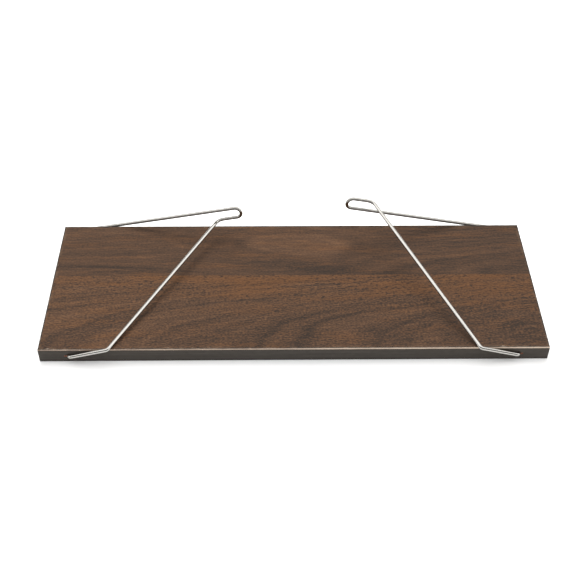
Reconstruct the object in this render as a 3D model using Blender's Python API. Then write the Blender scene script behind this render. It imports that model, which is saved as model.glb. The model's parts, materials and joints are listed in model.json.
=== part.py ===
"""Photo album stand: a laminated board with two folding wire supports.

Metres, +Z up. The origin is at the middle of the board's bottom face, +X runs along
the board and +Y points to its back edge. Both supports are shown folded in over the
board, which is how the stand is stored.
"""

from math import asin, cos, pi, radians, sin, tan

import bmesh
import bpy
from mathutils import Matrix, Vector

# ---- board ----
BOARD_LENGTH = 0.450
BOARD_DEPTH = 0.165
BOARD_THICKNESS = 0.015
LAMINATE_THICKNESS = 0.0008
BAND_THICKNESS = 0.0012
GLUE_LINE = 0.0003
BAND_EASE = 0.0004

# ---- wire supports ----
WIRE_DIAMETER = 0.0033
PIVOT_INSET = 0.0265
PIN_DEPTH = 0.020
HOLE_CLEARANCE = 0.0003
HOLE_BOTTOM_ROOM = 0.002
DRILL_OVERRUN = 0.002
FRONT_LEG_LENGTH = 0.0362
FRONT_LEG_GAP = 0.0005
BACK_LEG_LENGTH = 0.1523
BACK_LEG_GAP = 0.0039
BACK_LEG_LEAN = radians(5.6)
RETURN_LENGTH = 0.0245
HAIRPIN_SPACING = 0.0115
REST_GAP = 0.0001

# ---- radii of the formers that the wire is bent round ----
PIN_FORMER = 0.0010
FRONT_FORMER = 0.0020
UPPER_FORMER = 0.0062
ARC_STEP = radians(12)

# ---- worked out from the values above ----
WIRE_RADIUS = WIRE_DIAMETER / 2
HOLE_RADIUS = WIRE_RADIUS + HOLE_CLEARANCE
HOLE_DEPTH = PIN_DEPTH + HOLE_BOTTOM_ROOM
PIN_BEND = PIN_FORMER + WIRE_RADIUS
FRONT_BEND = FRONT_FORMER + WIRE_RADIUS
UPPER_BEND = UPPER_FORMER + WIRE_RADIUS
PIVOT_X = BOARD_LENGTH / 2 - PIVOT_INSET
PIVOT_HEIGHT = BOARD_THICKNESS / 2
FRONT_LEG_Y = -(BOARD_DEPTH / 2 + WIRE_RADIUS + FRONT_LEG_GAP)
BACK_KNEE_Y = BOARD_DEPTH / 2 + WIRE_RADIUS + BACK_LEG_GAP
FOLD_TILT = asin((PIVOT_HEIGHT + WIRE_RADIUS + REST_GAP) / FRONT_LEG_LENGTH)

SKIN_LENGTH = BOARD_LENGTH - 2 * (BAND_THICKNESS + GLUE_LINE)
SKIN_DEPTH = BOARD_DEPTH - 2 * (BAND_THICKNESS + GLUE_LINE)
CORE_THICKNESS = BOARD_THICKNESS - 2 * (LAMINATE_THICKNESS + GLUE_LINE)


def clear_scene():
    for thing in list(bpy.data.objects):
        bpy.data.objects.remove(thing, do_unlink=True)


def material(name, colour, roughness, metallic=0.0):
    made = bpy.data.materials.new(name)
    made.use_nodes = True
    shader = made.node_tree.nodes["Principled BSDF"]
    shader.inputs["Base Color"].default_value = (*colour, 1.0)
    shader.inputs["Roughness"].default_value = roughness
    shader.inputs["Metallic"].default_value = metallic
    return made


def add_object(name, data, place, turn=(0, 0, 0)):
    made = bpy.data.objects.new(name, data)
    made.location = place
    made.rotation_euler = turn
    bpy.context.scene.collection.objects.link(made)
    return made


def mesh_from(shape, name):
    mesh = bpy.data.meshes.new(name)
    shape.to_mesh(mesh)
    shape.free()
    return mesh


def slab(name, size, centre, finish, eased_side=None):
    """A flat piece; the long arrises on its eased side get a small round."""
    shape = bmesh.new()
    bmesh.ops.create_cube(shape, size=1.0, matrix=Matrix.Diagonal((*size, 1.0)))
    if eased_side:
        outer = [edge for edge in shape.edges if all(v.co.dot(Vector(eased_side)) > 0 for v in edge.verts)]
        arrises = [edge for edge in outer if edge.verts[0].co.z == edge.verts[1].co.z]
        bmesh.ops.bevel(shape, geom=arrises, affect="EDGES", offset=BAND_EASE,
                        segments=2, profile=0.5, material=-1)
    mesh = mesh_from(shape, name)
    mesh.materials.append(finish)
    return add_object(name, mesh, centre)


def drill(target, cutters):
    for cutter in cutters:
        cut = target.modifiers.new("pivot_hole", "BOOLEAN")
        cut.operation = "DIFFERENCE"
        cut.solver = "EXACT"
        cut.object = cutter


def pivot_drill(side, edge):
    """A drill for one blind pivot hole: side is -1 left or 1 right, edge is -1 front or 1 back."""
    shape = bmesh.new()
    bmesh.ops.create_cone(shape, cap_ends=True, segments=24, radius1=HOLE_RADIUS,
                          radius2=HOLE_RADIUS, depth=HOLE_DEPTH + DRILL_OVERRUN)
    middle = edge * (BOARD_DEPTH + DRILL_OVERRUN - HOLE_DEPTH) / 2
    mesh = mesh_from(shape, "pivot_drill")
    made = add_object("pivot_drill", mesh, (side * PIVOT_X, middle, PIVOT_HEIGHT), (pi / 2, 0, 0))
    made.hide_render = True
    made.display_type = "WIRE"
    return made


def rounded_corner(before, corner, after, radius):
    """Points of the arc that joins two straight runs of wire."""
    back = (before - corner).normalized()
    ahead = (after - corner).normalized()
    half = back.angle(ahead) / 2
    centre = corner + (back + ahead).normalized() * (radius / sin(half))
    start = corner + back * (radius / tan(half)) - centre
    turn = pi - 2 * half
    spin = start.cross(-back).normalized()
    steps = max(2, round(turn / ARC_STEP))
    return [centre + Matrix.Rotation(turn * i / steps, 3, spin) @ start for i in range(steps + 1)]


def hairpin(centre, outward, across):
    """The half turn at the tip, from the return run round to the back leg."""
    radius = HAIRPIN_SPACING / 2
    steps = round(pi / ARC_STEP)
    angles = [pi * i / steps for i in range(steps + 1)]
    return [centre + radius * (sin(a) * outward - cos(a) * across) for a in angles]


def wire_path():
    """Centre line: x runs out from the pivot axis, y along it, z across the support."""
    pin_end = BOARD_DEPTH / 2 - PIN_DEPTH
    outward = Vector((cos(BACK_LEG_LEAN), -sin(BACK_LEG_LEAN), 0))
    across = Vector((0, 0, 1))
    back_knee = Vector((0, BACK_KNEE_Y, 0))
    turn_from_knee = (BACK_LEG_LENGTH - HAIRPIN_SPACING / 2) / cos(BACK_LEG_LEAN)
    leg_top = back_knee + outward * turn_from_knee
    return_top = leg_top - across * HAIRPIN_SPACING
    upper_corner = return_top - outward * (RETURN_LENGTH - HAIRPIN_SPACING / 2)

    front_pin = Vector((0, -pin_end, 0))
    front_knee = Vector((0, FRONT_LEG_Y, 0))
    front_corner = Vector((FRONT_LEG_LENGTH, FRONT_LEG_Y, 0))
    back_pin = Vector((0, pin_end, 0))

    points = [front_pin]
    points += rounded_corner(front_pin, front_knee, front_corner, PIN_BEND)
    points += rounded_corner(front_knee, front_corner, upper_corner, FRONT_BEND)
    points += rounded_corner(front_corner, upper_corner, return_top, UPPER_BEND)
    points += hairpin((leg_top + return_top) / 2, outward, across)
    points += rounded_corner(leg_top, back_knee, back_pin, PIN_BEND)
    points.append(back_pin)
    return points


def wire_curve():
    curve = bpy.data.curves.new("wire_support", "CURVE")
    curve.dimensions = "3D"
    curve.bevel_depth = WIRE_RADIUS
    curve.bevel_resolution = 4
    curve.use_fill_caps = True
    points = wire_path()
    spline = curve.splines.new("POLY")
    spline.points.add(len(points) - 1)
    for target, point in zip(spline.points, points):
        target.co = (*point, 1.0)
    return curve


def build_board():
    laminate = material("walnut_print_laminate", (0.115, 0.075, 0.052), 0.42)
    backing = material("backing_laminate", (0.150, 0.105, 0.075), 0.55)
    band = material("printed_edge_band", (0.070, 0.058, 0.050), 0.45)
    fibreboard = material("fibreboard", (0.300, 0.170, 0.100), 0.85)

    front_drills = [pivot_drill(side, -1) for side in (-1, 1)]
    back_drills = [pivot_drill(side, 1) for side in (-1, 1)]

    core = slab("board_core", (SKIN_LENGTH, SKIN_DEPTH, CORE_THICKNESS), (0, 0, PIVOT_HEIGHT), fibreboard)
    drill(core, front_drills + back_drills)

    skin = (SKIN_LENGTH, SKIN_DEPTH, LAMINATE_THICKNESS)
    slab("bottom_laminate", skin, (0, 0, LAMINATE_THICKNESS / 2), backing)
    slab("top_laminate", skin, (0, 0, BOARD_THICKNESS - LAMINATE_THICKNESS / 2), laminate)

    long_band = (BOARD_LENGTH, BAND_THICKNESS, BOARD_THICKNESS)
    band_y = (BOARD_DEPTH - BAND_THICKNESS) / 2
    front = slab("front_edge_band", long_band, (0, -band_y, PIVOT_HEIGHT), band, (0, -1, 0))
    back = slab("back_edge_band", long_band, (0, band_y, PIVOT_HEIGHT), band, (0, 1, 0))
    drill(front, front_drills)
    drill(back, back_drills)

    short_band = (BAND_THICKNESS, SKIN_DEPTH, BOARD_THICKNESS)
    band_x = (BOARD_LENGTH - BAND_THICKNESS) / 2
    slab("left_edge_band", short_band, (-band_x, 0, PIVOT_HEIGHT), band, (-1, 0, 0))
    slab("right_edge_band", short_band, (band_x, 0, PIVOT_HEIGHT), band, (1, 0, 0))


def build_supports():
    steel = material("polished_steel_wire", (0.62, 0.61, 0.59), 0.18, 1.0)
    curve = wire_curve()
    curve.materials.append(steel)
    add_object("left_wire_support", curve, (-PIVOT_X, 0, PIVOT_HEIGHT), (0, -FOLD_TILT, 0))
    add_object("right_wire_support", curve, (PIVOT_X, 0, PIVOT_HEIGHT), (0, pi + FOLD_TILT, 0))


clear_scene()
build_board()
build_supports()
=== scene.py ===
"""Photo album stand: a walnut-print board with two folding wire supports, in a plain studio."""

import json
from math import asin, cos, pi, radians, sin, tan

import bmesh
import bpy
from mathutils import Matrix, Vector, noise


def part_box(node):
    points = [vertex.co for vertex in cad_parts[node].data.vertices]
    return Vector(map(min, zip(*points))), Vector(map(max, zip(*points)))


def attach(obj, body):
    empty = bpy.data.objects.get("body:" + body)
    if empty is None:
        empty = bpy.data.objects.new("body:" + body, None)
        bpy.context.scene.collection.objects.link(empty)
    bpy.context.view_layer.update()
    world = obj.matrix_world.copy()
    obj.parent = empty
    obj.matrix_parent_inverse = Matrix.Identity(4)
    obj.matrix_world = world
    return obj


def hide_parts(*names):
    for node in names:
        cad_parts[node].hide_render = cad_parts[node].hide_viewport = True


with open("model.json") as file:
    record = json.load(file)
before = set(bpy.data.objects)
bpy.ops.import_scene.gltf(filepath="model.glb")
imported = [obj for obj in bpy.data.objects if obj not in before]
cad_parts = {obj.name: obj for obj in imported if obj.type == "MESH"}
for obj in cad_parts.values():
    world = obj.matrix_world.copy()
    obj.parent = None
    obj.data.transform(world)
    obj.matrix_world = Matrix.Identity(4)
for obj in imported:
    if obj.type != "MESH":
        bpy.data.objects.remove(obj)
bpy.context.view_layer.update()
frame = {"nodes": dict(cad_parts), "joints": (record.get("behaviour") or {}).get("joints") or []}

# ---- board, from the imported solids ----
FRONT_LOW, FRONT_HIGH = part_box("front_edge_band")
TOP_LOW, TOP_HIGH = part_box("top_laminate")
BOTTOM_LOW, BOTTOM_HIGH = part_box("bottom_laminate")
HALF_LENGTH = FRONT_HIGH.x
HALF_DEPTH = -FRONT_LOW.y
THICKNESS = FRONT_HIGH.z
BAND = FRONT_HIGH.y - FRONT_LOW.y

# ---- board edges ----
TRIM_BEVEL = 0.0008
TRIM_STEEPNESS = 0.45
SIDE_ROUND = 0.0004
BOTTOM_ROUND = 0.0004
SKIN_STEP_X = 0.0014
SKIN_STEP_Y = 0.0028
FRONT_BAND_STEP = 0.0012
SIDE_BAND_STEP = 0.0015
LONG_EDGE_SHYNESS = 0.00004
SHORT_EDGE_SHYNESS = 0.00003
CHIP_LIMIT = 0.0009
HOLE_MOUTH_DEPTH = 0.006
FLAKE_OFFSET = 0.0023
FLAKE_DROP = 0.0005
FLAKE_SIZE = (0.0019, 0.0007, 0.0010)

# ---- printed wood figure, in millimetres from the middle of the board ----
SEAM = 11.2
CATHEDRAL_TIPS = (-220.0, -118.0, -33.0, 2.0, 72.0, 100.0)
KNOT_CENTRE = (212.0, -62.0)
KNOT_SIZE = (26.0, 13.0)
HEART_CENTRE = (-2.0, 55.0)
HEART_SIZE = (84.0, 25.0)
NOTCH_CENTRE = (22.0, 24.0)
NOTCH_SIZE = (58.0, 9.5)

# ---- wire supports, as the solids are bent ----
WIRE_RADIUS = 0.00165
PIN_DEPTH = 0.020
HOLE_CLEARANCE = 0.0003
FRONT_LEG_LENGTH = 0.0362
FRONT_LEG_GAP = 0.0005
BACK_LEG_LENGTH = 0.1523
BACK_LEG_GAP = 0.0039
BACK_LEG_LEAN = radians(5.6)
RETURN_LENGTH = 0.0245
HAIRPIN_SPACING = 0.0115
REST_GAP = 0.0001
PIN_BEND = WIRE_RADIUS + 0.0010
FRONT_BEND = WIRE_RADIUS + 0.0020
UPPER_BEND = WIRE_RADIUS + 0.0062
END_ROUND = WIRE_RADIUS * 0.25
WIRE_SIDES = 32
BEND_STEP = radians(5)

# ---- studio, with brightness as radiance ----
CAMERA_PLACE = (-0.0154, -0.6706, 0.6621)
CAMERA_YAW = radians(-1.07)
CAMERA_PITCH = radians(44.36)
CAMERA_ROLL = radians(0.473)
CAMERA_LENS = 61.8
FLOOR_REACH = 4.0
TOP_LIGHT = 1.98
WORLD_BRIGHTNESS = 0.30
CARD_BRIGHTNESS = 0.65
CARD_HEIGHT = 1.5

MM = 0.001
SMOOTH_ANGLE = radians(35)
SAME_PLACE = 1e-5
NO_MOVE = 1e-6


# ======================================================================
# Shader graphs
# ======================================================================
class Value:
    """A number or vector that varies over a surface. Arithmetic on it adds Math nodes."""

    def __init__(self, finish, socket):
        self.finish = finish
        self.socket = socket

    def maths(self, operation, *values):
        return self.finish.node("ShaderNodeMath", {"operation": operation}, dict(enumerate(values)))

    def __add__(self, other):
        return self.maths("ADD", self, other)

    def __sub__(self, other):
        return self.maths("SUBTRACT", self, other)

    def __rsub__(self, other):
        return self.maths("SUBTRACT", other, self)

    def __mul__(self, other):
        return self.maths("MULTIPLY", self, other)

    def __truediv__(self, other):
        return self.maths("DIVIDE", self, other)

    def __lt__(self, other):
        return self.maths("LESS_THAN", self, other)

    __radd__ = __add__
    __rmul__ = __mul__

    def squared(self):
        return self.maths("MULTIPLY", self, self)

    def root(self):
        return self.maths("SQRT", self)

    def size(self):
        return self.maths("ABSOLUTE", self)

    def least(self, other):
        return self.maths("MINIMUM", self, other)

    def falling(self):
        """1 where the value is 0, falling to 0 as it grows either way."""
        return self.maths("EXPONENT", self.squared() * -1.0)

    def step(self, low, high):
        """0 up to low, 1 from high on and smooth between; it falls where low is above high."""
        return self.finish.node(
            "ShaderNodeMapRange",
            {"interpolation_type": "SMOOTHSTEP"},
            {"Value": self, "From Min": low, "From Max": high},
        )


class Finish:
    """A material being built round one Principled shader."""

    def __init__(self, name, **sockets):
        self.material = bpy.data.materials.new(name)
        self.material.use_nodes = True
        self.tree = self.material.node_tree
        self.shader = self.tree.nodes["Principled BSDF"]
        for socket, value in sockets.items():
            self.feed(self.shader.inputs[socket.replace("_", " ")], value)

    def feed(self, socket, value):
        if isinstance(value, Value):
            self.tree.links.new(value.socket, socket)
        else:
            socket.default_value = value

    def node(self, kind, settings=None, values=None, output=0):
        made = self.tree.nodes.new(kind)
        for name, setting in (settings or {}).items():
            setattr(made, name, setting)
        for key, value in (values or {}).items():
            self.feed(made.inputs[key], value)
        return Value(self, made.outputs[output])

    def position(self):
        """The place on the piece along X, Y and Z, in millimetres."""
        place = self.node("ShaderNodeTexCoord", output="Object")
        return [
            self.node("ShaderNodeSeparateXYZ", values={"Vector": place}, output=axis) * (1 / MM)
            for axis in ("X", "Y", "Z")
        ]

    def vector(self, x, y, z):
        return self.node("ShaderNodeCombineXYZ", values={"X": x, "Y": y, "Z": z})

    def clouds(self, x, y, z=0.0, detail=2.0, roughness=0.5):
        """Noise round 0, from about -1 to 1; one unit of x, y or z is about one cloud."""
        grey = self.node(
            "ShaderNodeTexNoise",
            {"noise_dimensions": "3D"},
            {"Vector": self.vector(x, y, z), "Scale": 1.0, "Detail": detail, "Roughness": roughness},
        )
        return (grey - 0.5) * 5.0

    def mix(self, amount, first, second):
        return self.node(
            "ShaderNodeMix", {"data_type": "RGBA"}, {0: amount, 6: first, 7: second}, output=2
        )

    def specks(self, x, y, spacing, radius, share, seed):
        """Small round dots, at most one to a cell; share is how many of the cells have one."""
        place = self.vector(x / spacing, y / spacing, seed)
        settings = {"voronoi_dimensions": "3D", "feature": "F1"}
        near = self.node("ShaderNodeTexVoronoi", settings, {"Vector": place, "Scale": 1.0}, "Distance")
        colour = self.node("ShaderNodeTexVoronoi", settings, {"Vector": place, "Scale": 1.0}, "Color")
        pick = self.node("ShaderNodeSeparateColor", values={"Color": colour}, output="Red")
        return (near < radius / spacing) * (pick < share)

    def bump(self, height, depth_mm):
        normal = self.node(
            "ShaderNodeBump", values={"Strength": 1.0, "Distance": depth_mm * MM, "Height": height}
        )
        self.feed(self.shader.inputs["Normal"], normal)

    def colour(self, value):
        self.feed(self.shader.inputs["Base Color"], value)

    def roughness(self, value):
        self.feed(self.shader.inputs["Roughness"], value)


def rgb(red, green, blue):
    """A display colour from 0 to 255, as the shader's linear colour."""
    def linear(level):
        level = level / 255
        return level / 12.92 if level <= 0.04045 else ((level + 0.055) / 1.055) ** 2.4
    return (linear(red), linear(green), linear(blue), 1.0)


def seen(red, green, blue):
    """The reflectance of a finish that shows as this display colour on the lit top."""
    return tuple(level / TOP_LIGHT for level in rgb(red, green, blue)[:3]) + (1.0,)


def oval(x, y, centre, size):
    """The squared distance from a centre: 1 on an oval whose half-widths are size."""
    return ((x - centre[0]) / size[0]).squared() + ((y - centre[1]) / size[1]).squared()


def near_plank(wood, x, y):
    """Cathedral figure that opens to the right, with its tips on the board's front edge."""
    drift = wood.clouds(x / 75, y / 40, 3.0, detail=1.0)
    rise = y + 88.0
    arch = x - rise * rise * rise / 1900.0 + drift * 13.0
    broad = wood.clouds(arch / 58, y / 260, 11.0, detail=1.0)
    bands = wood.clouds(arch / 21, y / 120, 17.0, detail=2.0)
    knot = oval(x, y, KNOT_CENTRE, KNOT_SIZE)
    rings = wood.clouds(knot.root() * 2.6 + drift * 0.5, x / 300, 29.0, detail=1.0)
    lines = 0.0
    for tip in CATHEDRAL_TIPS:
        lines = ((arch - tip) / 6.0).falling() + lines
    outer = 1.0 - y.step(-48.0, -14.0)
    return broad * 0.34 + bands * 0.30 + rings * (knot * 0.5).falling() * 0.6 - lines * outer * 0.62


def far_plank(wood, x, y):
    """A calmer board: an oval heart in the middle and long arches that open to the right."""
    drift = wood.clouds(x / 85, y / 30, 23.0, detail=1.0)
    heart = oval(x, y + x * 0.06, HEART_CENTRE, HEART_SIZE).root() + drift * 0.16
    rings = wood.clouds(heart * 2.9, x / 400, 31.0, detail=2.0)
    rise = y - 9.0
    limbs = wood.clouds((x - rise * rise / 9.0) / 34 + drift * 0.5, y / 160, 37.0, detail=2.0)
    right = (x - y * 0.9).step(0.0, 70.0)
    straight = wood.clouds(x / 240, (y + drift * 3.0) / 5.0, 41.0, detail=2.0)
    left = 1.0 - (x + y * 1.4).step(-130.0, -20.0)
    sag = (x + 226.0) / 169
    long_line = ((y - 25.0 + sag.squared() * 14.0) / 1.7).falling() * left
    notch = oval(x, y + x * 0.14, NOTCH_CENTRE, NOTCH_SIZE).root()
    rings = rings * (heart * 0.6).falling()
    figure = (rings * 0.5 + heart.falling() * 0.55) * (1.0 - right) + limbs * right * 0.40
    return figure + straight * (left * 0.36 + 0.14) - notch.falling() * 0.75 - long_line * 0.6 - 0.24


def walnut_print():
    """Satin walnut-print laminate: two printed boards side by side, grain along X."""
    wood = Finish("walnut_print", Roughness=0.5, Specular_IOR_Level=0.12)
    x, y, z = wood.position()
    near = y < SEAM
    far_figure = far_plank(wood, x, y)
    figure = far_figure + (near_plank(wood, x, y) - far_figure) * near

    sway = wood.clouds(x / 15, y / 8, 5.0, detail=1.0)
    across = y - x * near * 0.12 + sway * 0.7
    fibre = wood.clouds(x / 19, across / 1.25, 7.0, detail=2.0, roughness=0.6)
    streaks = wood.clouds(x / 60, across / 3.4, 15.0, detail=2.0)
    dashes = wood.clouds(x / 5.0, across / 1.35, 13.0, detail=1.0)
    grain = wood.clouds(x / 2.2, y / 1.25, 19.0, detail=2.0)
    by_seam = (y + x * 0.06).step(-40.0, 6.0) * near
    pores = dashes.step(0.0, 0.9)

    fine = near * 0.5 + 0.5
    # painted shade: - x / 1300 makes the top slightly darker towards the right, standing in for uneven
    # light across the board
    tone = figure + fibre * 0.50 + streaks * 0.19 + grain * fine * 0.95 - x / 1300
    tone = tone - pores * (fine * 0.38 + by_seam * 1.05) + by_seam * 0.18 - 0.04
    warmth = wood.clouds(x / 75, y / 10, 43.0, detail=2.0) * 0.7 + by_seam * 0.9 + tone * 0.5

    colour = wood.mix(tone.step(-1.5, 0.25), seen(57, 47, 40), seen(91, 68, 52))
    colour = wood.mix(tone.step(-0.1, 1.5), colour, seen(124, 92, 68))
    colour = wood.mix(warmth.step(-0.3, 1.8) * 0.55, colour, seen(122, 80, 45))

    rim = (HALF_LENGTH / MM - x.size()).least(HALF_DEPTH / MM - y.size())
    rubbed = rim.step(4.5, 1.2) * wood.clouds(x / 12, y / 12, 47.0).step(-0.3, 0.9)
    colour = wood.mix(rubbed * 0.22, colour, seen(150, 124, 102))

    dust = wood.specks(x, y, 46.0, 0.45, 0.22, 3.3)
    wood.colour(wood.mix(dust * 0.85, colour, seen(215, 200, 175)))
    wood.roughness(0.50 + fibre * 0.03 + pores * 0.06 - rubbed * 0.10)
    wood.bump(fibre * 0.35 - pores * 0.9 + grain * 0.3 + dust * 2.0, 0.05)
    return wood.material


def banding_body():
    """The pale body of the laminate and band, bared where the arris was trimmed."""
    body = Finish("trimmed_banding", Roughness=0.5)
    x, y, z = body.position()
    streaks = body.clouds(x / 9, z / 0.5, 1.0, detail=3.0)
    stain = body.clouds(x / 35, y / 3, 4.0, detail=2.0)
    tone = streaks * 0.3 + stain * 0.4 + x / 300
    colour = body.mix(tone.step(-1.2, 1.1), rgb(122, 102, 86), rgb(192, 172, 152))
    nicks = body.clouds(x / 1.6, z / 0.5, 9.0)
    colour = body.mix(nicks.step(0.5, 1.0) * 0.6, colour, rgb(92, 74, 60))
    body.colour(body.mix(nicks.step(-0.6, -1.0) * 0.7, colour, rgb(226, 208, 188)))
    body.roughness(0.48 + streaks * 0.05)
    body.bump(streaks, 0.04)
    return body.material


def printed_band(name, base, runs_along, half_run):
    """Smooth printed edge band with long faint lines, rubbed on its arrises and ends, with painted
    shade along its bottom and top edges.
    """
    band = Finish(name, Roughness=0.45, Specular_IOR_Level=0.15)
    x, y, z = band.position()
    along = x if runs_along == "X" else y
    lines = band.clouds(along / 70, z / 1.1, 2.0, detail=3.0)
    mottle = band.clouds(along / 6, z / 4, 6.0, detail=3.0)
    tone = lines * 0.5 + mottle * 0.3
    dark = tuple(0.72 * level for level in base[:3]) + (1.0,)
    light = tuple(1.25 * level for level in base[:3]) + (1.0,)
    colour = band.mix(tone.step(-1.2, 1.2), dark, light)
    top = THICKNESS / MM
    # painted shade: a dark strip along the band's foot stands in for the contact shadow at the floor,
    # and another just under its top arris
    painted_edge_shade = z.step(2.2, 0.5) + z.step(top - 2.3, top - 1.5)
    colour = band.mix(painted_edge_shade * 0.6, colour, rgb(32, 28, 26))
    arris = z.least(top - z).least(half_run / MM - along.size())
    rubbed = arris.step(0.7, 0.1) * mottle.step(0.1, 0.7)
    colour = band.mix(rubbed * 0.35, colour, rgb(128, 110, 94))
    dust = band.specks(along, z, 30.0, 0.3, 0.10, 8.0)
    band.colour(band.mix(dust * 0.8, colour, rgb(190, 175, 155)))
    band.roughness(0.42 + mottle * 0.05 + lines * 0.02 + rubbed * 0.15)
    band.bump(mottle * 0.5 + lines * 0.5, 0.02)
    return band.material


def fibreboard():
    """Reddish-brown pressed fibre, seen in the drilled holes and in the chips beside them."""
    core = Finish("fibreboard", Roughness=0.9)
    x, y, z = core.position()
    chips = core.clouds(x / 1.2, y / 1.2, z / 0.5, detail=4.0, roughness=0.65)
    core.colour(core.mix(chips.step(-1.0, 1.0), rgb(70, 38, 28), rgb(142, 92, 68)))
    core.roughness(0.86 + chips * 0.05)
    core.bump(chips, 0.15)
    return core.material


def backing_laminate():
    """Plain brown balancing laminate on the underside."""
    back = Finish("backing_laminate", Roughness=0.55)
    x, y, z = back.position()
    lines = back.clouds(x / 90, y / 2.2, 3.0, detail=3.0)
    grit = back.clouds(x / 0.8, y / 0.8, 5.0, detail=2.0)
    rubbed = back.clouds(x / 55, y / 40, 8.0, detail=3.0).step(0.2, 1.2)
    colour = back.mix((lines * 0.5 + grit * 0.3).step(-1.2, 1.2), rgb(70, 56, 47), rgb(92, 75, 63))
    back.colour(back.mix(rubbed * 0.3, colour, rgb(112, 96, 84)))
    back.roughness(0.52 + rubbed * 0.1 + grit * 0.03)
    back.bump(grit * 0.6 + lines * 0.4, 0.04)
    return back.material


def plated_wire():
    """Bright nickel-plated steel wire: drawing marks, handling haze and rubbed hairpin ends."""
    wire = Finish("plated_wire", Metallic=1.0, Specular_Tint=(0.42, 0.42, 0.41, 1.0))
    x, y, z = wire.position()
    haze = wire.clouds(x / 11, y / 11, z / 11, detail=3.0)
    draw = wire.clouds(x / 0.5, y / 1.1, z / 0.5, detail=2.0)
    pits = wire.clouds(x / 0.8, y / 0.8, z / 0.8, detail=1.0).step(1.0, 1.3)
    colour = wire.mix(haze.step(-0.6, 1.4) * 0.35, (0.45, 0.437, 0.41, 1.0), (0.38, 0.365, 0.335, 1.0))
    rubbed = x.size().step(64.0, 54.0) * wire.clouds(x / 3, y / 3, z / 3, detail=3.0).step(-0.5, 0.8)
    wire.colour(wire.mix(pits * 0.35 + rubbed * 0.2, colour, (0.26, 0.24, 0.21, 1.0)))
    wire.roughness(0.06 + haze.step(-0.4, 1.4) * 0.05 + pits * 0.12 + rubbed * 0.07)
    wire.bump(draw * 0.6 - pits, 0.012)
    return wire.material


# ======================================================================
# Meshes
# ======================================================================
def add_piece(name, shape, materials, smooth=True):
    mesh = bpy.data.meshes.new(name)
    bmesh.ops.recalc_face_normals(shape, faces=shape.faces)
    shape.to_mesh(mesh)
    shape.free()
    for finish in materials:
        mesh.materials.append(finish)
    made = bpy.data.objects.new(name, mesh)
    bpy.context.scene.collection.objects.link(made)
    if smooth:
        mesh.shade_smooth()
        mesh.set_sharp_from_angle(angle=SMOOTH_ANGLE)
    return made


def block(low, high):
    shape = bmesh.new()
    size = Vector(high) - Vector(low)
    middle = (Vector(high) + Vector(low)) / 2
    place = Matrix.Translation(middle) @ Matrix.Diagonal((*size, 1.0))
    bmesh.ops.create_cube(shape, size=1.0, matrix=place)
    return shape


def edges_where(shape, test):
    return [edge for edge in shape.edges if all(test(v.co) for v in edge.verts)]


def round_edges(shape, edges, width, segments):
    return bmesh.ops.bevel(
        shape, geom=edges, affect="EDGES", offset=width, segments=segments, profile=0.5, material=-1
    )["faces"]


def divide_along(shape, axis, step):
    """Cuts every edge that runs along an axis into pieces about step long."""
    runs = [edge for edge in shape.edges if abs((edge.verts[0].co - edge.verts[1].co)[axis]) > step * 4]
    cuts = round(max(edge.calc_length() for edge in runs) / step)
    bmesh.ops.subdivide_edges(shape, edges=runs, cuts=cuts, use_grid_fill=True)


def wander(along, seed):
    """A hand-trimmed line's small drift, in metres."""
    slow = noise.noise(Vector((along * 60, seed, 0.0)))
    quick = noise.noise(Vector((along * 420, seed, 5.0)))
    return slow * 0.00007 + quick * 0.00006


def chip(along, seed):
    """How far the brittle print has flaked back from the trimmed line, in metres; mostly 0."""
    slow = noise.noise(Vector((along * 95, seed, 2.0)))
    quick = noise.noise(Vector((along * 330, seed, 7.0)))
    return min(CHIP_LIMIT, max(0.0, slow + 0.5 * quick - 0.34) * 0.0022)


def near_to(value, target):
    return abs(value - target) < SAME_PLACE


def laminate(name, low, high, outer_z, materials, seed):
    """A facing sheet out to the bands, with its outer rim nibbled back where it was trimmed."""
    low = Vector((-HALF_LENGTH + BAND, -HALF_DEPTH + BAND, low.z))
    high = Vector((HALF_LENGTH - BAND, HALF_DEPTH - BAND, high.z))
    shape = block(low, high)
    divide_along(shape, 0, SKIN_STEP_X)
    divide_along(shape, 1, SKIN_STEP_Y)
    shape.normal_update()
    for face in shape.faces:
        face.material_index = 0 if abs(face.normal.z) > 0.5 else 1
    for v in shape.verts:
        if not near_to(v.co.z, outer_z):
            continue
        if near_to(abs(v.co.y), high.y):
            inward = -1 if v.co.y > 0 else 1
            drift = max(0.0, wander(v.co.x, seed))
            v.co.y += inward * (LONG_EDGE_SHYNESS + chip(v.co.x, seed + inward) + drift)
        if near_to(abs(v.co.x), high.x):
            inward = -1 if v.co.x > 0 else 1
            v.co.x += inward * (SHORT_EDGE_SHYNESS + chip(v.co.y, seed + inward + 5.0) * 0.7)
    return add_piece(name, shape, materials)


def flake(centre, size, seed):
    """A lumpy cutter that tears a chip out beside a drilled hole."""
    shape = bmesh.new()
    bmesh.ops.create_icosphere(shape, subdivisions=3, radius=1.0)
    for v in shape.verts:
        v.co *= 1.0 + 0.28 * noise.noise(v.co * 1.9 + Vector((seed, 0, 0)))
    bmesh.ops.transform(
        shape, matrix=Matrix.Translation(centre) @ Matrix.Diagonal((*size, 1.0)), verts=shape.verts
    )
    return shape


def drill_bit(centre, radius, length):
    """A cutter for the mouth of a pivot hole, with its axis along Y."""
    shape = bmesh.new()
    bmesh.ops.create_cone(
        shape, cap_ends=True, segments=40, radius1=radius, radius2=radius, depth=length,
        matrix=Matrix.Translation(centre) @ Matrix.Rotation(pi / 2, 4, "X"),
    )
    return shape


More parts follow.
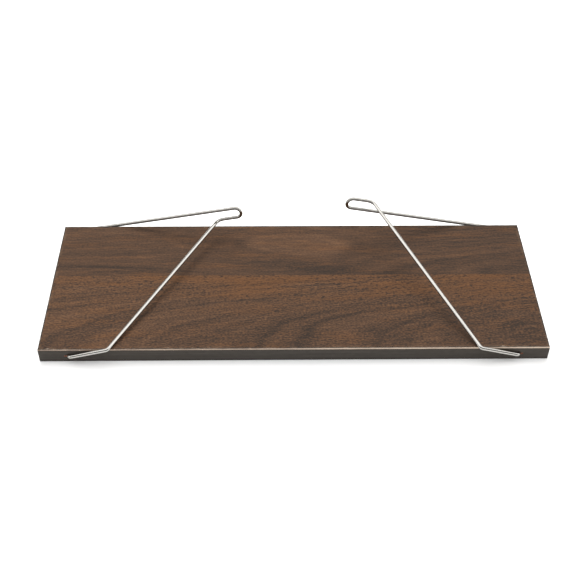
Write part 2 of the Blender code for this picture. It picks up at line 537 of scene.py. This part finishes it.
def cut(piece, cutters, material_index):
    """Takes the cutters out of a piece; the cut faces get that material."""
    for number, shape in enumerate(cutters):
        for face in shape.faces:
            face.material_index = material_index
        tool = add_piece(f"cutter_{number}", shape, piece.data.materials, smooth=False)
        step = piece.modifiers.new("cut", "BOOLEAN")
        step.operation = "DIFFERENCE"
        step.solver = "EXACT"
        step.object = tool
        graph = bpy.context.evaluated_depsgraph_get()
        made = bpy.data.meshes.new_from_object(piece.evaluated_get(graph))
        piece.modifiers.clear()
        piece.data = made
        bpy.data.objects.remove(tool, do_unlink=True)
    piece.data.set_sharp_from_angle(angle=SMOOTH_ANGLE)


def long_band(name, side, trim, materials):
    """The front (side -1) or back (side 1) edge band, with its top arris trimmed off steeply."""
    outer = side * HALF_DEPTH
    inner = side * (HALF_DEPTH - BAND)
    shape = block((-HALF_LENGTH, min(outer, inner), 0), (HALF_LENGTH, max(outer, inner), THICKNESS))
    bottom = edges_where(shape, lambda co: near_to(co.y, outer) and near_to(co.z, 0))
    round_edges(shape, bottom, BOTTOM_ROUND, 3)
    top = edges_where(shape, lambda co: near_to(co.y, outer) and near_to(co.z, THICKNESS))
    for face in round_edges(shape, top, trim, 1):
        face.material_index = 1
    divide_along(shape, 0, FRONT_BAND_STEP)
    for v in shape.verts:
        if near_to(v.co.y, outer) and near_to(v.co.z, THICKNESS - trim):
            v.co.z += wander(v.co.x, 11.0 + side) - trim * TRIM_STEEPNESS
        elif near_to(v.co.y, outer - side * trim) and near_to(v.co.z, THICKNESS):
            v.co.y += side * trim * TRIM_STEEPNESS
    return add_piece(name, shape, materials)


def short_band(name, side, materials):
    """The left (side -1) or right (side 1) edge band, lightly rounded over."""
    outer = side * HALF_LENGTH
    inner = side * (HALF_LENGTH - BAND)
    depth = HALF_DEPTH - BAND
    shape = block((min(outer, inner), -depth, 0), (max(outer, inner), depth, THICKNESS))
    arrises = edges_where(shape, lambda co: near_to(co.x, outer) and near_to(co.z, 0))
    arrises += edges_where(shape, lambda co: near_to(co.x, outer) and near_to(co.z, THICKNESS))
    round_edges(shape, arrises, SIDE_ROUND, 3)
    divide_along(shape, 1, SIDE_BAND_STEP)
    for v in shape.verts:
        if near_to(v.co.z, THICKNESS) and not near_to(v.co.x, inner):
            v.co.x -= side * max(0.0, wander(v.co.y, 21.0 + side))
    return add_piece(name, shape, materials)


class BentWire:
    """A round wire formed from its first end, run by run and bend by bend."""

    def __init__(self, start, heading, radius):
        self.shape = bmesh.new()
        self.place = start
        self.heading = heading.normalized()
        turn = Vector((0, 0, 1)).rotation_difference(self.heading).to_matrix().to_4x4()
        bmesh.ops.create_circle(
            self.shape, cap_ends=False, segments=WIRE_SIDES, radius=radius,
            matrix=Matrix.Translation(start) @ turn,
        )
        self.ring = list(self.shape.edges)

    def draw_out(self):
        """Draws a new ring of edges out of the open end, and gives its vertices to be moved."""
        made = bmesh.ops.extrude_edge_only(self.shape, edges=self.ring)["geom"]
        edges = [item for item in made if isinstance(item, bmesh.types.BMEdge)]
        self.ring = [edge for edge in edges if len(edge.link_faces) == 1]
        return list({v for edge in self.ring for v in edge.verts})

    def run_to(self, target):
        """Runs straight to the target."""
        move = target - self.place
        if move.length < NO_MOVE:
            return
        bmesh.ops.translate(self.shape, vec=move, verts=self.draw_out())
        self.place = target

    def bend(self, ahead, radius):
        """Bends from the present heading to ahead."""
        turn = self.heading.angle(ahead)
        toward = (ahead - self.heading * ahead.dot(self.heading)).normalized()
        centre = self.place + toward * radius
        axis = self.heading.cross(toward)
        steps = max(3, round(turn / BEND_STEP))
        step = Matrix.Rotation(turn / steps, 3, axis)
        for _ in range(steps):
            bmesh.ops.rotate(self.shape, cent=centre, matrix=step, verts=self.draw_out())
        self.place = centre + Matrix.Rotation(turn, 3, axis) @ (self.place - centre)
        self.heading = ahead.normalized()

    def follow(self, corners, radii, end):
        """Runs and bends through the corners to the far end, and closes both ends."""
        targets = corners[1:] + [end]
        for corner, target, radius in zip(corners, targets, radii):
            ahead = (target - corner).normalized()
            reach = radius * tan(self.heading.angle(ahead) / 2)
            self.run_to(corner - self.heading * reach)
            self.bend(ahead, radius)
        self.run_to(end)
        open_edges = [edge for edge in self.shape.edges if len(edge.link_faces) == 1]
        caps = bmesh.ops.edgeloop_fill(self.shape, edges=open_edges)["faces"]
        rims = list({edge for face in caps for edge in face.edges})
        round_edges(self.shape, rims, END_ROUND, 3)
        return self.shape


def wire_support(name, joint, turn, material):
    """One support, bent flat in its own frame and then hung on its pivot."""
    outward = Vector((cos(BACK_LEG_LEAN), -sin(BACK_LEG_LEAN), 0))
    across = Vector((0, 0, 1))
    pin_end = HALF_DEPTH - PIN_DEPTH
    half_turn = HAIRPIN_SPACING / 2
    front_y = -(HALF_DEPTH + WIRE_RADIUS + FRONT_LEG_GAP)
    back_knee = Vector((0, HALF_DEPTH + WIRE_RADIUS + BACK_LEG_GAP, 0))
    leg_top = back_knee + outward * ((BACK_LEG_LENGTH - half_turn) / cos(BACK_LEG_LEAN))
    return_top = leg_top - across * HAIRPIN_SPACING
    corners = [
        Vector((0, front_y, 0)),
        Vector((FRONT_LEG_LENGTH, front_y, 0)),
        return_top - outward * (RETURN_LENGTH - half_turn),
        return_top + outward * half_turn,
        leg_top + outward * half_turn,
        back_knee,
    ]
    radii = [PIN_BEND, FRONT_BEND, UPPER_BEND, half_turn, half_turn, PIN_BEND]
    wire = BentWire(Vector((0, -pin_end, 0)), Vector((0, -1, 0)), WIRE_RADIUS)
    shape = wire.follow(corners, radii, Vector((0, pin_end, 0)))
    place = Matrix.Translation(joint["pos_m"]) @ Matrix.Rotation(turn, 4, "Y")
    bmesh.ops.transform(shape, matrix=place, verts=shape.verts)
    return add_piece(name, shape, [material])


# ======================================================================
# The stand
# ======================================================================
def joint_named(name):
    return next(joint for joint in frame["joints"] if joint["name"] == name)


def place_piece(piece, body, slot, *nodes):
    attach(piece, body)
    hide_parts(*nodes)


def pivot_cutters(side):
    """The drills and torn chips of one long edge's two pivot holes."""
    cutters = []
    for number, name in enumerate(("left_support_swing", "right_support_swing")):
        pivot = Vector(joint_named(name)["pos_m"])
        mouth = Vector((pivot.x, side * HALF_DEPTH, pivot.z))
        outward = -1 if pivot.x < 0 else 1
        torn = mouth + Vector((outward * FLAKE_OFFSET, 0, -FLAKE_DROP))
        cutters.append(drill_bit(mouth, WIRE_RADIUS + HOLE_CLEARANCE, HOLE_MOUTH_DEPTH))
        cutters.append(flake(torn, FLAKE_SIZE, number * 3.7 + side))
    return cutters


def build_board():
    walnut = walnut_print()
    body = banding_body()
    core = fibreboard()
    backing = backing_laminate()
    long_print = printed_band("long_band_print", rgb(58, 53, 48), "X", HALF_LENGTH)
    side_print = printed_band("short_band_print", rgb(66, 56, 49), "Y", HALF_DEPTH - BAND)

    top = laminate("walnut_top", TOP_LOW, TOP_HIGH, TOP_HIGH.z, [walnut, body], 1.0)
    under = laminate("backing_sheet", BOTTOM_LOW, BOTTOM_HIGH, BOTTOM_LOW.z, [backing, body], 31.0)
    place_piece(top, "board", "walnut_laminate", "top_laminate")
    place_piece(under, "board", "backing_laminate", "bottom_laminate")

    front = long_band("front_band", -1, TRIM_BEVEL, [long_print, body, core])
    back = long_band("back_band", 1, SIDE_ROUND, [long_print, long_print, core])
    for band, side, node in ((front, -1, "front_edge_band"), (back, 1, "back_edge_band")):
        cut(band, pivot_cutters(side), 2)
        place_piece(band, "board", "edge_band", node)
    for name, side, node in (("left_band", -1, "left_edge_band"), ("right_band", 1, "right_edge_band")):
        place_piece(short_band(name, side, [side_print]), "board", "edge_band", node)

    core_node = frame["nodes"]["board_core"]
    core_node.data.materials.clear()
    core_node.data.materials.append(core)


def build_supports():
    steel = plated_wire()
    left = joint_named("left_support_swing")
    right = joint_named("right_support_swing")
    tilt = asin((THICKNESS / 2 + WIRE_RADIUS + REST_GAP) / FRONT_LEG_LENGTH)
    left_wire = wire_support("left_wire", left, -tilt, steel)
    right_wire = wire_support("right_wire", right, pi + tilt, steel)
    place_piece(left_wire, "left_support", "steel_wire", "left_wire_support")
    place_piece(right_wire, "right_support", "steel_wire", "right_wire_support")


# ======================================================================
# Studio
# ======================================================================
def add_camera():
    reach = cos(CAMERA_PITCH)
    forward = Vector((-sin(CAMERA_YAW) * reach, cos(CAMERA_YAW) * reach, -sin(CAMERA_PITCH)))
    level = Vector((cos(CAMERA_YAW), sin(CAMERA_YAW), 0))
    upright = level.cross(forward)
    right = level * cos(CAMERA_ROLL) + upright * sin(CAMERA_ROLL)
    up = upright * cos(CAMERA_ROLL) - level * sin(CAMERA_ROLL)
    data = bpy.data.cameras.new("camera")
    data.lens = CAMERA_LENS
    data.sensor_width = 36.0
    data.clip_start = 0.01
    camera = bpy.data.objects.new("camera", data)
    bpy.context.scene.collection.objects.link(camera)
    turn = Matrix((right, up, -forward)).transposed().to_4x4()
    camera.matrix_world = Matrix.Translation(CAMERA_PLACE) @ turn
    bpy.context.scene.camera = camera


def add_floor():
    shape = bmesh.new()
    bmesh.ops.create_grid(shape, x_segments=1, y_segments=1, size=FLOOR_REACH)
    paper = Finish("studio_paper", Roughness=0.9)
    x, y, z = paper.position()
    mottle = paper.clouds(x / 300, y / 300, 1.0, detail=2.0)
    paper.colour(paper.mix(mottle.step(-1.0, 1.0), (0.86, 0.86, 0.86, 1.0), (0.88, 0.88, 0.87, 1.0)))
    add_piece("studio_floor", shape, [paper.material], smooth=False)


def softbox(name, place, target, width, height, power):
    data = bpy.data.lights.new(name, "AREA")
    data.shape = "RECTANGLE"
    data.size = width
    data.size_y = height
    data.energy = power
    lamp = bpy.data.objects.new(name, data)
    lamp.location = place
    lamp.rotation_euler = (Vector(target) - Vector(place)).to_track_quat("-Z", "Y").to_euler()
    bpy.context.scene.collection.objects.link(lamp)
    return lamp


def reflection_card(name, place, width):
    """A soft white card beside the set that shows only in glossy reflections."""
    power = pi * width * CARD_HEIGHT * CARD_BRIGHTNESS
    card = softbox(name, place, (0, 0, 0.5), width, CARD_HEIGHT, power)
    card.visible_diffuse = False
    card.visible_camera = False


def add_world():
    world = bpy.data.worlds.new("studio")
    world.use_nodes = True
    background = world.node_tree.nodes["Background"]
    background.inputs["Color"].default_value = (1.0, 1.0, 1.0, 1.0)
    background.inputs["Strength"].default_value = WORLD_BRIGHTNESS
    bpy.context.scene.world = world


def build_studio():
    add_camera()
    add_floor()
    add_world()
    key = softbox("back_softbox", (-0.08, 1.05, 1.10), (0, 0, 0), 0.85, 0.7, 34.0)
    key.visible_glossy = False
    fill = softbox("front_fill", (0.0, -1.4, 1.4), (0, 0, 0), 1.4, 0.8, 16.0)
    fill.visible_glossy = False
    softbox("ceiling", (0.0, 0.3, 1.9), (0, 0.3, 0), 3.0, 2.0, 36.0)
    softbox("left_softbox", (-1.2, 0.1, 0.9), (0, 0, 0), 0.8, 0.8, 3.0)
    softbox("right_softbox", (1.2, 0.1, 0.9), (0, 0, 0), 0.8, 0.8, 3.0)
    reflection_card("left_card", (-1.7, 0.2, 0.85), 3.0)
    reflection_card("right_card", (1.7, 0.2, 0.85), 3.0)
    reflection_card("back_left_card", (-1.15, 1.7, 0.85), 1.9)
    reflection_card("back_right_card", (1.15, 1.7, 0.85), 1.9)
    bpy.context.scene.view_settings.view_transform = "Standard"


build_studio()
build_board()
build_supports()
